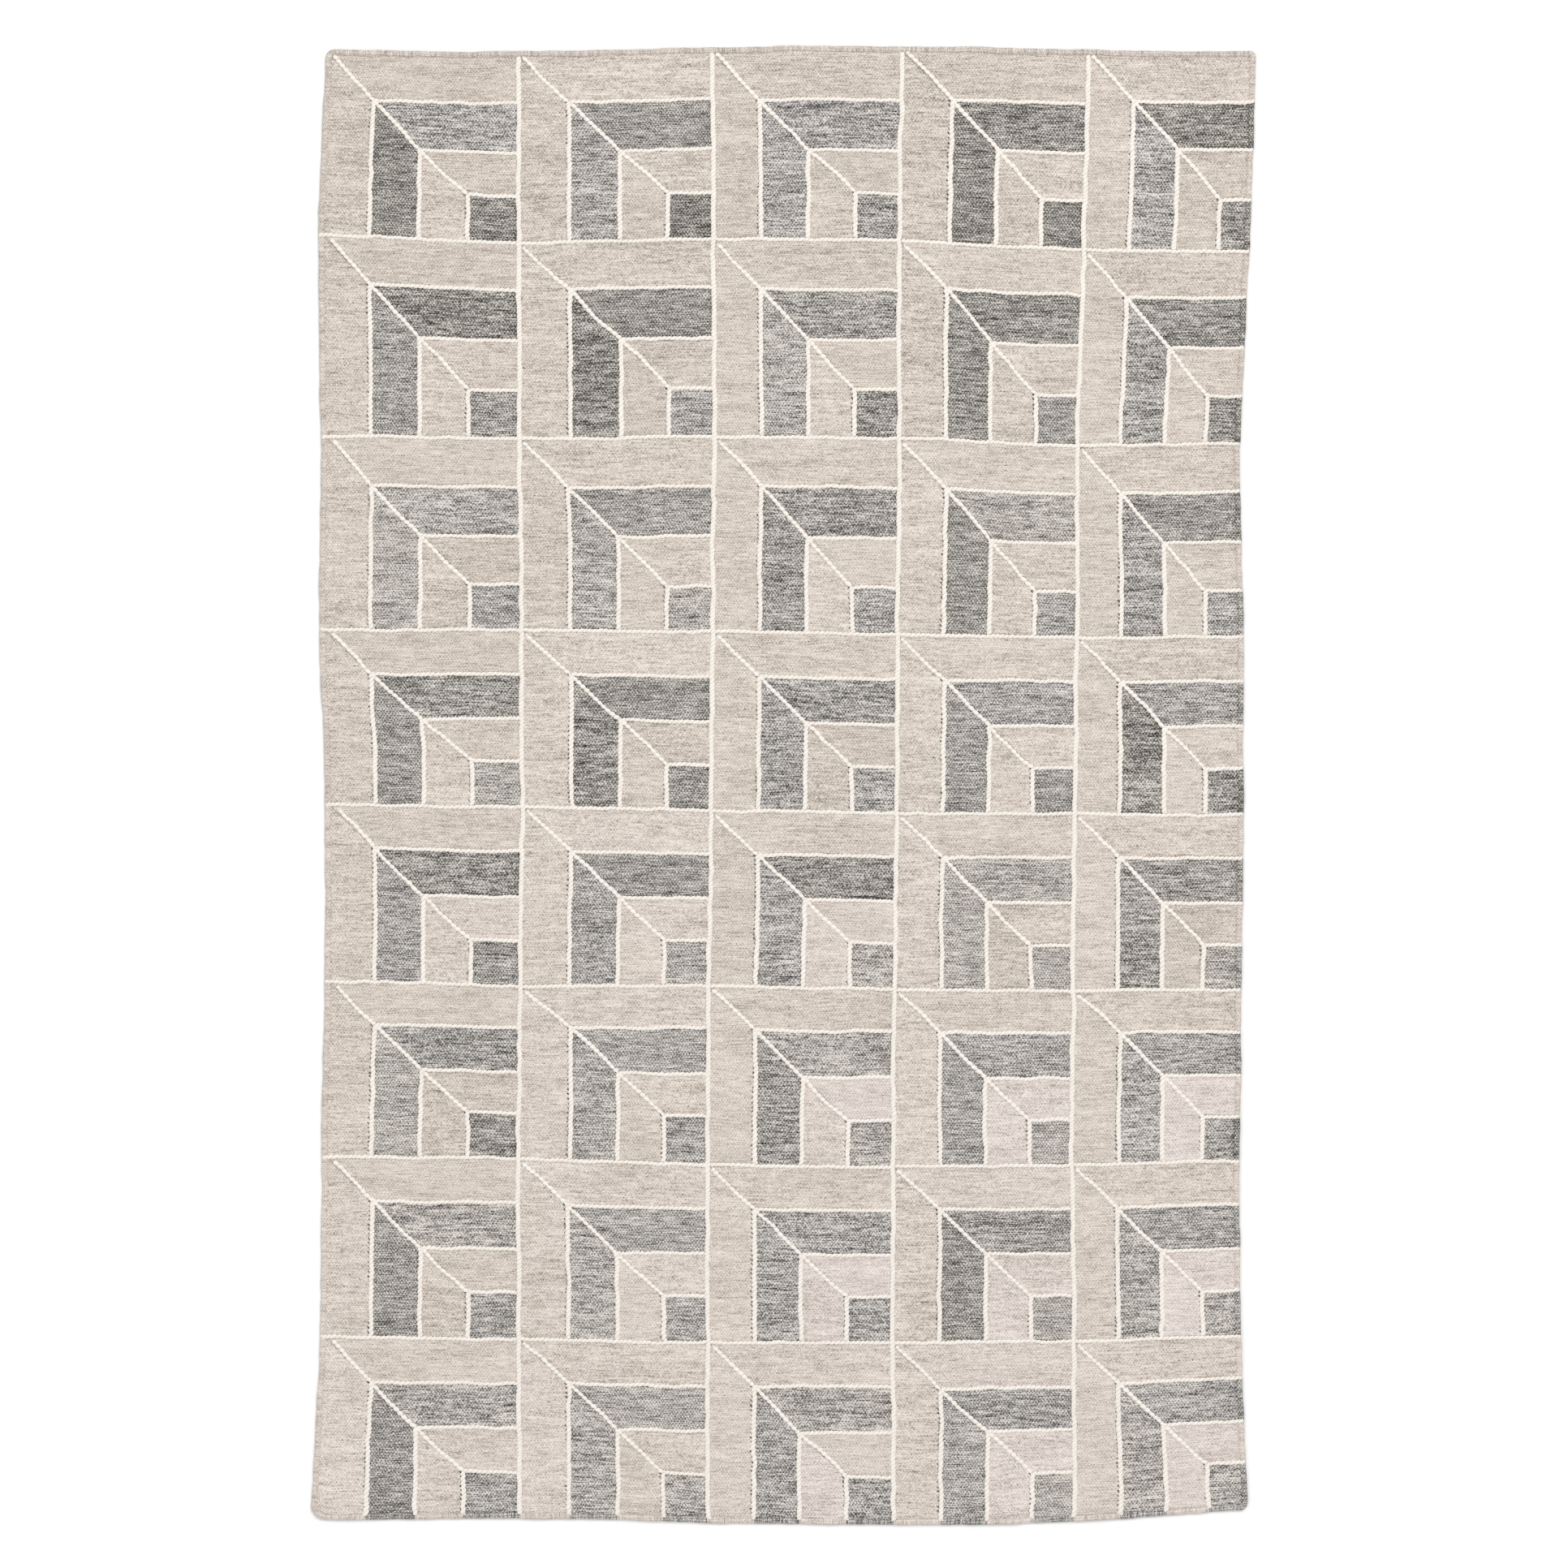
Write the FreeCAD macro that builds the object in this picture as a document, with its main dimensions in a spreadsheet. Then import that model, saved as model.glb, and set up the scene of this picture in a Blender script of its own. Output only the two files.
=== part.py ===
import FreeCAD, Part
import os

# A flat-woven wool rug that lies flat. It has five columns and eight rows of cells.
# Each cell holds nested right-angle bands, a square in its lower right corner and
# raised cords on every boundary.
# X runs across the rug, Y along it and Z up. The origin is the centre of the
# underside. Sizes are in millimetres.

# The handmade grid: columns from left to right, rows from the far end to the near end.
COLUMN_WIDTHS = (328, 316, 307, 298, 275)
ROW_HEIGHTS = (322, 324, 321, 294, 293, 289, 297, 298)

# Where the three band boundaries lie, as shares of each column's width, from its left
# side, and of each row's height, from its far side. All are close to quarters.
COLUMN_SHARES = (
    (0.253, 0.500, 0.744),
    (0.261, 0.520, 0.765),
    (0.255, 0.507, 0.756),
    (0.260, 0.515, 0.764),
    (0.266, 0.528, 0.771),
)
ROW_SHARES = (
    (0.268, 0.528, 0.756),
    (0.242, 0.501, 0.753),
    (0.252, 0.510, 0.761),
    (0.250, 0.504, 0.743),
    (0.247, 0.503, 0.743),
    (0.241, 0.499, 0.739),
    (0.246, 0.500, 0.739),
    (0.242, 0.492, 0.730),
)

SIZES = {
    "cord_half": 4.0,  # half the width of a raised cord
    "mitre_run": 11.0,  # width of a mitre cord, measured straight across the rug
    "selvedge_width": 9.0,  # rolled side edge
    "binding_width": 9.0,  # whip-stitched end edge
    "wrap_wall": 2.0,  # wool outside the core of an edge
    "back_top": 1.7,  # top of the weft on the underside
    "warp_top": 2.9,  # top of the cotton warp
    "face_top": 4.6,  # top of the weft on the face
    "edge_top": 5.6,  # top of the selvedges and end bindings
    "cord_top": 7.0,  # top of the raised cords
}

COLUMNS = len(COLUMN_WIDTHS)
ROWS = len(ROW_HEIGHTS)
BANDS = len(COLUMN_SHARES[0]) + 1
BAND_NODES = ("outer_beige_bands", "grey_bands", "inner_beige_bands")

GROUND = "0"
BACK_TOP = "params.back_top"
WARP_TOP = "params.warp_top"
FACE_TOP = "params.face_top"
EDGE_TOP = "params.edge_top"
CORD_TOP = "params.cord_top"
CORD_HALF = "params.cord_half"

doc = FreeCAD.newDocument("area_rug")


def fill_spreadsheet():
    """Write every driving size to the spreadsheet as a plain number with a name."""
    sheet = doc.addObject("Spreadsheet::Sheet", "params")
    values = dict(SIZES)
    for kind, table in (("column", COLUMN_SHARES), ("row", ROW_SHARES)):
        for cell, shares in enumerate(table, start=1):
            for step, share in enumerate(shares, start=1):
                values[f"{kind}_{cell}_share_{step}"] = share
    for line in range(COLUMNS + 1):
        values[f"column_line_{line}"] = sum(COLUMN_WIDTHS[:line]) - sum(COLUMN_WIDTHS) / 2
    for line in range(ROWS + 1):
        values[f"row_line_{line}"] = sum(ROW_HEIGHTS) / 2 - sum(ROW_HEIGHTS[:line])
    for row, (name, value) in enumerate(values.items(), start=1):
        sheet.set(f"A{row}", name)
        sheet.set(f"B{row}", str(value))
        sheet.setAlias(f"B{row}", name)
    doc.recompute()


def band_line(kind, cell, step):
    """The position of a cell's band boundary. Steps 0 and 4 are the cell's own lines."""
    start = f"params.{kind}_line_{cell - 1}"
    end = f"params.{kind}_line_{cell}"
    if step == 0:
        return start
    if step == BANDS:
        return end
    return f"{start} + params.{kind}_{cell}_share_{step} * ({end} - {start})"


def left_bound(column, step, gap):
    """The left side of a field that starts at a band boundary, clear of what is there."""
    room = "params.selvedge_width" if (column, step) == (1, 0) else gap
    return f"{band_line('column', column, step)} + {room}"


def right_bound(column, step, gap):
    room = "params.selvedge_width" if (column, step) == (COLUMNS, BANDS) else gap
    return f"{band_line('column', column, step)} - {room}"


def top_bound(row, step, gap):
    room = "params.binding_width" if (row, step) == (1, 0) else gap
    return f"{band_line('row', row, step)} - {room}"


def bottom_bound(row, step, gap):
    room = "params.binding_width" if (row, step) == (ROWS, BANDS) else gap
    return f"{band_line('row', row, step)} + {room}"


def bind(solid, sizes):
    for name, size in sizes.items():
        solid.setExpression(name, size)
    return solid


def box(x, y, z):
    """A box between pairs of bounds."""
    solid = doc.addObject("Part::Box", "box")
    return bind(
        solid,
        {
            "Placement.Base.x": x[0],
            "Placement.Base.y": y[0],
            "Placement.Base.z": z[0],
            "Length": f"({x[1]}) - ({x[0]})",
            "Width": f"({y[1]}) - ({y[0]})",
            "Height": f"({z[1]}) - ({z[0]})",
        },
    )


def prism(start, end, at_start, at_end, z):
    """A flat prism whose two parallel sides lie at start and end of its own Y axis."""
    solid = doc.addObject("Part::Wedge", "prism")
    return bind(
        solid,
        {
            "Ymin": start,
            "Ymax": end,
            "Xmin": at_start[0],
            "Xmax": at_start[1],
            "X2min": at_end[0],
            "X2max": at_end[1],
            "Zmin": z[0],
            "Zmax": z[1],
            "Z2min": z[0],
            "Z2max": z[1],
        },
    )


def prism_along(y, x_at_low, x_at_high, z):
    """A prism whose parallel sides cross the rug, at the two values of y."""
    return prism(y[0], y[1], x_at_low, x_at_high, z)


def prism_across(x, y_at_left, y_at_right, z):
    """A prism whose parallel sides run along the rug, at the two values of x."""
    left = (f"-({y_at_left[1]})", f"-({y_at_left[0]})")
    right = (f"-({y_at_right[1]})", f"-({y_at_right[0]})")
    solid = prism(x[0], x[1], left, right, z)
    solid.Placement = FreeCAD.Placement(
        FreeCAD.Vector(0, 0, 0), FreeCAD.Rotation(FreeCAD.Vector(0, 0, 1), -90)
    )
    return solid


def band_solids(column, row, band, layer):
    """The two legs of one right-angle band, meeting at the mitre, in one weft layer."""
    gap, mitre, z = layer
    left = left_bound(column, band, gap)
    inner_left = right_bound(column, band + 1, gap)
    right = right_bound(column, BANDS, gap)
    top = top_bound(row, band, gap)
    inner_top = bottom_bound(row, band + 1, gap)
    bottom = bottom_bound(row, BANDS, gap)
    across_leg = prism_along(
        (inner_top, top),
        (f"{inner_left} + {mitre}", right),
        (f"{left} + {mitre}", right),
        z,
    )
    down_leg = prism_across((left, inner_left), (bottom, top), (bottom, inner_top), z)
    return [across_leg, down_leg]


def square_solid(column, row, layer):
    """The square in the lower right corner of a cell, in one weft layer."""
    gap, _, z = layer
    step = BANDS - 1
    return box(
        (left_bound(column, step, gap), right_bound(column, BANDS, gap)),
        (bottom_bound(row, BANDS, gap), top_bound(row, step, gap)),
        z,
    )


def outline_solids(column, row, step):
    """The raised cords on one band boundary of a cell: one crosses, one runs down."""
    z = (WARP_TOP, CORD_TOP)
    x_line = band_line("column", column, step)
    y_line = band_line("row", row, step)
    down = (f"{x_line} - {CORD_HALF}", f"{x_line} + {CORD_HALF}")
    cross = (f"{y_line} - {CORD_HALF}", f"{y_line} + {CORD_HALF}")
    cross_cord = box((down[1], right_bound(column, BANDS, CORD_HALF)), cross, z)
    down_cord = box(down, (bottom_bound(row, BANDS, CORD_HALF), cross[1]), z)
    return [cross_cord, down_cord]


def mitre_solid(column, row, band):
    """The raised cord on the mitre of one band, slanting from corner to corner."""
    left = left_bound(column, band, CORD_HALF)
    inner_left = right_bound(column, band + 1, CORD_HALF)
    return prism_along(
        (bottom_bound(row, band + 1, CORD_HALF), top_bound(row, band, CORD_HALF)),
        (inner_left, f"{inner_left} + params.mitre_run"),
        (left, f"{left} + params.mitre_run"),
        (WARP_TOP, CORD_TOP),
    )


def edge_solids(side, low, high, is_end):
    """The wool over, under and outside the core of an edge, between low and high.

    side is a pair of bounds, the outer face of the edge first. It is an X pair for a
    selvedge and a Y pair for an end binding.
    """
    outer, inner = side
    wall = f"{outer} + params.wrap_wall"
    if outer in (RIGHT_EDGE, TOP_EDGE):
        wall = f"{outer} - params.wrap_wall"
    spans = (
        ((outer, wall), (GROUND, EDGE_TOP)),
        ((wall, inner), (GROUND, BACK_TOP)),
        ((wall, inner), (WARP_TOP, EDGE_TOP)),
    )
    solids = []
    for span, z in spans:
        if outer in (RIGHT_EDGE, TOP_EDGE):
            span = span[::-1]
        x, y = ((low, high), span) if is_end else (span, (low, high))
        solids.append(box(x, y, z))
    return solids


def node(name, solids):
    """A sub-part: a group of separate solids under the name of the piece."""
    group = doc.addObject("Part::Compound", name)
    group.Links = solids
    group.Label = name
    group.Placement = FreeCAD.Placement()
    return group


LEFT_EDGE = band_line("column", 1, 0)
RIGHT_EDGE = band_line("column", COLUMNS, BANDS)
TOP_EDGE = band_line("row", 1, 0)
BOTTOM_EDGE = band_line("row", ROWS, BANDS)
INSIDE_LEFT = left_bound(1, 0, CORD_HALF)
INSIDE_RIGHT = right_bound(COLUMNS, BANDS, CORD_HALF)
INSIDE_TOP = top_bound(1, 0, CORD_HALF)
INSIDE_BOTTOM = bottom_bound(ROWS, BANDS, CORD_HALF)

# A layer is its gap at a raised cord, its gap at a mitre cord, and its heights.
BACK_LAYER = ("0", "0", (GROUND, BACK_TOP))
FACE_LAYER = (CORD_HALF, "params.mitre_run", (WARP_TOP, FACE_TOP))


def make_warp():
    sections = []
    for column in range(1, COLUMNS + 1):
        for step in range(BANDS):
            x = (left_bound(column, step, "0"), right_bound(column, step + 1, "0"))
            sections.append(box(x, (INSIDE_BOTTOM, INSIDE_TOP), (BACK_TOP, WARP_TOP)))
    return [node("cotton_warp", sections)]


def make_fields():
    """The woven bands and squares, a node for each kind in each column."""
    nodes = []
    for column in range(1, COLUMNS + 1):
        for band, kind in enumerate(BAND_NODES):
            solids = []
            for row in range(1, ROWS + 1):
                for layer in (BACK_LAYER, FACE_LAYER):
                    solids += band_solids(column, row, band, layer)
            nodes.append(node(f"{kind}_column_{column}", solids))
        squares = []
        for row in range(1, ROWS + 1):
            for layer in (BACK_LAYER, FACE_LAYER):
                squares.append(square_solid(column, row, layer))
        nodes.append(node(f"grey_squares_column_{column}", squares))
    return nodes


def make_cords():
    """The raised cords inside the cells, and those between the rows and the columns."""
    nodes = []
    for column in range(1, COLUMNS + 1):
        outlines = []
        mitres = []
        for row in range(1, ROWS + 1):
            for step in range(1, BANDS):
                outlines += outline_solids(column, row, step)
                mitres.append(mitre_solid(column, row, step - 1))
        nodes.append(node(f"outline_cords_column_{column}", outlines))
        nodes.append(node(f"mitre_cords_column_{column}", mitres))
    z = (WARP_TOP, CORD_TOP)
    for row in range(1, ROWS):
        line = band_line("row", row, BANDS)
        y = (f"{line} - {CORD_HALF}", f"{line} + {CORD_HALF}")
        lengths = []
        for column in range(1, COLUMNS + 1):
            x = (left_bound(column, 0, CORD_HALF), right_bound(column, BANDS, CORD_HALF))
            lengths.append(box(x, y, z))
        nodes.append(node(f"row_cord_{row}", lengths))
    for column in range(1, COLUMNS):
        line = band_line("column", column, BANDS)
        x = (f"{line} - {CORD_HALF}", f"{line} + {CORD_HALF}")
        nodes.append(node(f"column_cord_{column}", [box(x, (INSIDE_BOTTOM, INSIDE_TOP), z)]))
    return nodes


def make_selvedges():
    """The rolled sides. The right one takes the colour of each band that it meets."""
    left = (LEFT_EDGE, INSIDE_LEFT)
    right = (RIGHT_EDGE, INSIDE_RIGHT)
    wraps = {"beige": [], "grey": []}
    for row in range(1, ROWS + 1):
        for step in range(BANDS):
            colour = "grey" if step % 2 else "beige"
            low = band_line("row", row, step + 1)
            high = band_line("row", row, step)
            wraps[colour] += edge_solids(right, low, high, is_end=False)
    core_z = (BACK_TOP, WARP_TOP)
    along = (BOTTOM_EDGE, TOP_EDGE)
    left_core = (f"{LEFT_EDGE} + params.wrap_wall", INSIDE_LEFT)
    right_core = (INSIDE_RIGHT, f"{RIGHT_EDGE} - params.wrap_wall")
    return [
        node("left_selvedge_wrap", edge_solids(left, BOTTOM_EDGE, TOP_EDGE, is_end=False)),
        node("left_selvedge_core", [box(left_core, along, core_z)]),
        node("right_selvedge_beige_wrap", wraps["beige"]),
        node("right_selvedge_grey_wrap", wraps["grey"]),
        node("right_selvedge_core", [box(right_core, along, core_z)]),
    ]


def make_bindings():
    """The whip-stitched ends. The near one takes the colour of each band it meets."""
    top = (TOP_EDGE, INSIDE_TOP)
    bottom = (BOTTOM_EDGE, INSIDE_BOTTOM)
    wraps = {"beige": [], "grey": []}
    for column in range(1, COLUMNS + 1):
        for step in range(BANDS):
            colour = "grey" if step % 2 else "beige"
            low = left_bound(column, step, "0")
            high = right_bound(column, step + 1, "0")
            wraps[colour] += edge_solids(bottom, low, high, is_end=True)
    core_z = (BACK_TOP, WARP_TOP)
    across = (INSIDE_LEFT, INSIDE_RIGHT)
    top_core = (INSIDE_TOP, f"{TOP_EDGE} - params.wrap_wall")
    bottom_core = (f"{BOTTOM_EDGE} + params.wrap_wall", INSIDE_BOTTOM)
    return [
        node("top_binding", edge_solids(top, INSIDE_LEFT, INSIDE_RIGHT, is_end=True)),
        node("top_hem_cord", [box(across, top_core, core_z)]),
        node("bottom_beige_binding", wraps["beige"]),
        node("bottom_grey_binding", wraps["grey"]),
        node("bottom_hem_cord", [box(across, bottom_core, core_z)]),
    ]


def check_document(nodes):
    """Stop unless every object is up to date and every sub-part is a valid shape."""
    for item in doc.Objects:
        if "Invalid" in item.State or "Error" in item.State:
            raise RuntimeError(f"{item.Name} ({item.Label}) did not recompute: {item.State}")
    for item in nodes:
        if item.Shape.isNull() or not item.Shape.isValid():
            raise RuntimeError(f"{item.Label} has no valid shape")


def main():
    fill_spreadsheet()
    nodes = make_warp() + make_fields() + make_cords() + make_selvedges() + make_bindings()
    doc.recompute()
    check_document(nodes)
    os.makedirs("parts", exist_ok=True)
    for item in nodes:
        item.Shape.exportStep(f"parts/{item.Label}.step")


main()
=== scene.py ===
import math

import bpy
import numpy as np
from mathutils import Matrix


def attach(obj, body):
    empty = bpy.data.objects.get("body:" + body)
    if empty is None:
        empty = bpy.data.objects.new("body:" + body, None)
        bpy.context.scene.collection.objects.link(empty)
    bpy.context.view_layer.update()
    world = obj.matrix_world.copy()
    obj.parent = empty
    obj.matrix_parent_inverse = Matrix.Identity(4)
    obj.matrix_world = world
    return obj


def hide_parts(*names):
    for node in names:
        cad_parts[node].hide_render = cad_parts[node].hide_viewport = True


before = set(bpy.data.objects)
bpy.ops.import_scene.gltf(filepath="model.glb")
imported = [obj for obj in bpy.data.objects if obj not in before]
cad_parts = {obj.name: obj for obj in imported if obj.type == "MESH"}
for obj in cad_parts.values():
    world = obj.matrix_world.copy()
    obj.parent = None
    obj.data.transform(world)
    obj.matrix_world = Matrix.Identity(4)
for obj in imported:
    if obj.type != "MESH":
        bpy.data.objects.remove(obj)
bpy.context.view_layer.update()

# ---------------------------------------------------------------- the rug's sizes
# Everything is in metres, in the frame of the parts: X across, Y along, Z up.
MM = 0.001
COLUMN_LINES = np.array([-762, -434, -118, 189, 487, 762]) * MM
ROW_LINES = np.array([1219, 897, 573, 252, -42, -335, -624, -921, -1219]) * MM

# Where the band lines lie, as shares of each column's width and each row's height.
COLUMN_SHARES = (
    (0, 0.253, 0.500, 0.744, 1),
    (0, 0.261, 0.520, 0.765, 1),
    (0, 0.255, 0.507, 0.756, 1),
    (0, 0.260, 0.515, 0.764, 1),
    (0, 0.266, 0.528, 0.771, 1),
)
ROW_SHARES = (
    (0, 0.268, 0.528, 0.756, 1),
    (0, 0.242, 0.501, 0.753, 1),
    (0, 0.252, 0.510, 0.761, 1),
    (0, 0.250, 0.504, 0.743, 1),
    (0, 0.247, 0.503, 0.743, 1),
    (0, 0.241, 0.499, 0.739, 1),
    (0, 0.246, 0.500, 0.739, 1),
    (0, 0.242, 0.492, 0.730, 1),
)
COLUMNS, ROWS, BANDS = 5, 8, 4
EDGE_WIDTH = 9 * MM
TUCK = 2.6 * MM  # how far the fields run on under the finished edges
BACK_TOP, WARP_TOP = 1.7 * MM, 2.9 * MM
FACE_TOP, EDGE_TOP = 4.6 * MM, 5.6 * MM

# How far each line of the handmade grid strays from straight, in millimetres.
# A row of COLUMN_DRIFT is one line between columns, from the far end to the near end.
COLUMN_DRIFT = np.array(
    [
        (8, -4, 0, -2, 7, 6, 1, -1, -17),
        (-2, -1, 0, 3, 4, 1, -2, -1, 0),
        (3, 5, 6, 3, 1, -3, -5, -5, -5),
        (10, 5, 5, 2, 1, -3, -5, -6, -4),
        (20, 12, 2, 1, -3, -6, -7, -4, -3),
        (21, 11, -4, 1, 1, -2, -5, -3, 8),
    ]
)
# A row of ROW_DRIFT is one line between rows, from the left edge to the right edge.
ROW_DRIFT = np.array(
    [
        (-3, -6, 1, 3, -3, -6),
        (13, 0, 6, 3, -12, -14),
        (5, 0, 3, 0, -11, -8),
        (5, 4, 2, -3, -8, -7),
        (9, 6, 0, -4, -6, -7),
        (11, 3, 3, -3, -5, -3),
        (10, 6, -4, -7, -4, 2),
        (9, 4, -1, -1, 1, 10),
        (3, 7, 0, -4, 1, 21),
    ]
)
# Cells whose band lines stray from the shares of their column and row: by row and column,
# the shifts of the three inner lines in x and in y, in millimetres.
STRAY_CELLS = {
    (0, 2): ((-1, 0, 2), (-3, -4, -1)),
    (0, 3): ((4, 2, 1), (-1, 3, 1)),
    (0, 4): ((2, 5, 11), (4, 12, 5)),
    (1, 2): ((-1, 0, 0), (-4, -2, 0)),
    (1, 3): ((0, -2, 0), (4, 3, 3)),
    (1, 4): ((0, 3, 5), (1, 0, -1)),
    (2, 1): ((-2, -4, -2), (-1, -1, -3)),
    (5, 1): ((4, 2, 1), (1, 1, 4)),
    (5, 4): ((4, 3, 2), (-1, 0, 0)),
    (7, 0): ((3, -2, -6), (-1, 0, -3)),
    (7, 2): ((-1, -4, -3), (0, -2, -3)),
    (7, 3): ((1, 1, 1), (-4, 0, 1)),
}
# Corners are drawn in when the edges are finished: side, end, radius.
CORNERS = ((-1, -1, 27 * MM), (1, -1, 14 * MM), (-1, 1, 12 * MM), (1, 1, 9 * MM))

# The weaver's lots of grey yarn, a (darkest) to e (palest), one letter to a cell.
LOTS_ACROSS = ("dcdba", "abcbb", "eccec", "bbddd", "bcbec", "ddedd", "eddcd", "eeedd")
LOTS_DOWN = ("addad", "caebc", "eecbd", "cbdca", "dddec", "eecdd", "cedbe", "cedde")
LOTS_SQUARE = ("aacac", "cdbcb", "deddd", "ebdcb", "ceeee", "bdeec", "dddee", "dedee")

# Cords: distance from stitch to stitch along the cord, width, height, depth of the
# groove between stitches as a share of the cord's size, and how far the groove runs
# ahead at the cord's left side, in radians of half a turn to a stitch.
COLUMN_CORD = (6.6 * MM, 8.9 * MM, 4.4 * MM, 0.20, -1.3)
UPRIGHT_CORD = (7.6 * MM, 8.9 * MM, 4.2 * MM, 0.36, -1.1)
LEVEL_CORD = (8.2 * MM, 7.2 * MM, 4.2 * MM, 0.42, 1.0)
MITRE_CORD = (9.4 * MM, 7.6 * MM, 4.4 * MM, 0.52, 0.3)
CORD_Z = 4.5 * MM

# The weave: one bead of weft to the next along a row, and one row to the next.
BEAD, ROW = 5.15 * MM, 3.8 * MM


def noise_source(*key):
    return np.random.default_rng((20261118, *key))


# ------------------------------------------------------------- how the rug lies
def line_weights(position, lines):
    """Catmull-Rom weights of every grid line at each position, one row a position."""
    order = np.arange(len(lines))
    place = np.interp(position, lines, order)
    first = np.clip(np.floor(place).astype(int), 0, len(lines) - 2)
    f = place - first
    curve = (
        (-f + 2 * f**2 - f**3) / 2,
        (2 - 5 * f**2 + 3 * f**3) / 2,
        (f + 4 * f**2 - 3 * f**3) / 2,
        (-(f**2) + f**3) / 2,
    )
    weights = np.zeros((len(place), len(lines)))
    rows = np.arange(len(place))
    for step, share in zip((-1, 0, 1, 2), curve):
        line = np.clip(first + step, 0, len(lines) - 1)
        np.add.at(weights, (rows, line), share)
    return weights


WAVES = noise_source(1).uniform(0, 2 * math.pi, (4, 6))
WAVE_LENGTHS = np.array([37, 61, 97, 153, 241, 389]) * MM


def ripple(place, across, phases, size):
    """A smooth wander: six sine waves of growing length, each turned a little."""
    turn = 2 * math.pi / WAVE_LENGTHS
    heights = size * (WAVE_LENGTHS / WAVE_LENGTHS[-1]) ** 0.5
    waves = np.sin(place[:, None] * turn + across[:, None] * turn * 0.37 + phases)
    return (waves * heights).sum(axis=1) / 2


def lay(points):
    """Flat woven points as they lie: carried by the drift of the grid lines, with a
    small wander, the corners drawn in and the cloth just off the floor in places."""
    x, y, z = points[:, 0].copy(), points[:, 1].copy(), points[:, 2]
    for side, end, radius in CORNERS:
        in_x = (side * x - (COLUMN_LINES[-1] - radius)) / radius
        in_y = (end * y - (ROW_LINES[0] - radius)) / radius
        inside = (in_x > 0) & (in_y > 0)
        a, b = in_x[inside], in_y[inside]
        pull = np.maximum(a, b) / np.hypot(a, b)
        x[inside] += side * radius * a * (pull - 1)
        y[inside] += end * radius * b * (pull - 1)
    across = line_weights(x, COLUMN_LINES)
    along = line_weights(-y, -ROW_LINES)
    shift_x = np.einsum("nc,cr,nr->n", across, COLUMN_DRIFT * MM, along)
    shift_y = np.einsum("nr,rc,nc->n", along, ROW_DRIFT * MM, across)
    shift_x += ripple(y, x, WAVES[0], 1.1 * MM)
    shift_y += ripple(x, y, WAVES[1], 1.1 * MM)
    rise = np.abs(ripple(x, y, WAVES[2], 0.7 * MM) + ripple(y, x, WAVES[3], 0.5 * MM))
    return np.column_stack((x + shift_x, y + shift_y, z + rise))


# ------------------------------------------------------------- surfaces to meshes
class Surface:
    """Points, faces and named values of closed surfaces that make up one piece."""

    def __init__(self):
        self.points, self.quads, self.tris, self.values = [], [], [], {}
        self.count = 0

    def add(self, points, quads, tris=(), **values):
        points = np.asarray(points, float).reshape(-1, 3)
        self.quads.append(np.asarray(quads, int).reshape(-1, 4) + self.count)
        self.tris.append(np.asarray(tris, int).reshape(-1, 3) + self.count)
        self.points.append(points)
        for name, value in values.items():
            value = np.asarray(value, float)
            if value.ndim < 2:
                value = np.broadcast_to(value, (len(points),))
            self.values.setdefault(name, []).append(value)
        self.count += len(points)

    def piece(self, name, material):
        points = lay(np.concatenate(self.points))
        quads, tris = np.concatenate(self.quads), np.concatenate(self.tris)
        mesh = bpy.data.meshes.new(name)
        mesh.vertices.add(len(points))
        mesh.vertices.foreach_set("co", points.ravel())
        corners = np.concatenate((quads.ravel(), tris.ravel()))
        mesh.loops.add(len(corners))
        mesh.loops.foreach_set("vertex_index", corners)
        starts = np.concatenate(
            (np.arange(len(quads)) * 4, len(quads) * 4 + np.arange(len(tris)) * 3)
        )
        mesh.polygons.add(len(starts))
        mesh.polygons.foreach_set("loop_start", starts)
        mesh.polygons.foreach_set("use_smooth", np.ones(len(starts), bool))
        for name_of_value, parts in self.values.items():
            value = np.concatenate(parts)
            kind = "FLOAT_VECTOR" if value.ndim == 2 else "FLOAT"
            layer = mesh.attributes.new(name_of_value, kind, "POINT")
            layer.data.foreach_set("vector" if value.ndim == 2 else "value", value.ravel())
        mesh.update(calc_edges=True)
        mesh.materials.append(material)
        piece = bpy.data.objects.new(name, mesh)
        bpy.context.scene.collection.objects.link(piece)
        return piece


def grid_quads(count_s, count_t, wrap=False):
    """Faces of a grid of points, in rows of count_t. wrap joins the last t to the first."""
    s = np.arange(count_s - 1)[:, None]
    t = np.arange(count_t if wrap else count_t - 1)[None, :]
    next_t = (t + 1) % count_t
    here, there = s * count_t, (s + 1) * count_t
    quads = np.stack((here + t, there + t, there + next_t, here + next_t), axis=-1)
    return quads.reshape(-1, 4)


def rim_order(count_s, count_t):
    """The outer points of a grid in order, anticlockwise from its first point."""
    grid = np.arange(count_s * count_t).reshape(count_s, count_t)
    return np.concatenate((grid[:-1, 0], grid[-1, :-1], grid[:0:-1, -1], grid[0, :0:-1]))


# ------------------------------------------------------------------- woven fields
RIM = np.array([0.0, 1.0, 2.2, 4.0, 7.0]) * MM
FIELD_STEP = 9 * MM
# How far the painted shade at a panel's rims reaches in.
RIM_SHADE_WIDTH = 4.2 * MM


def stations(length):
    """Shares from 0 to 1, close together where the cloth rolls over at each end."""
    middle = np.linspace(RIM[-1], length - RIM[-1], max(3, round(length / FIELD_STEP)))
    return np.concatenate((RIM[:-1], middle, length - RIM[-2::-1])) / length


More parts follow.
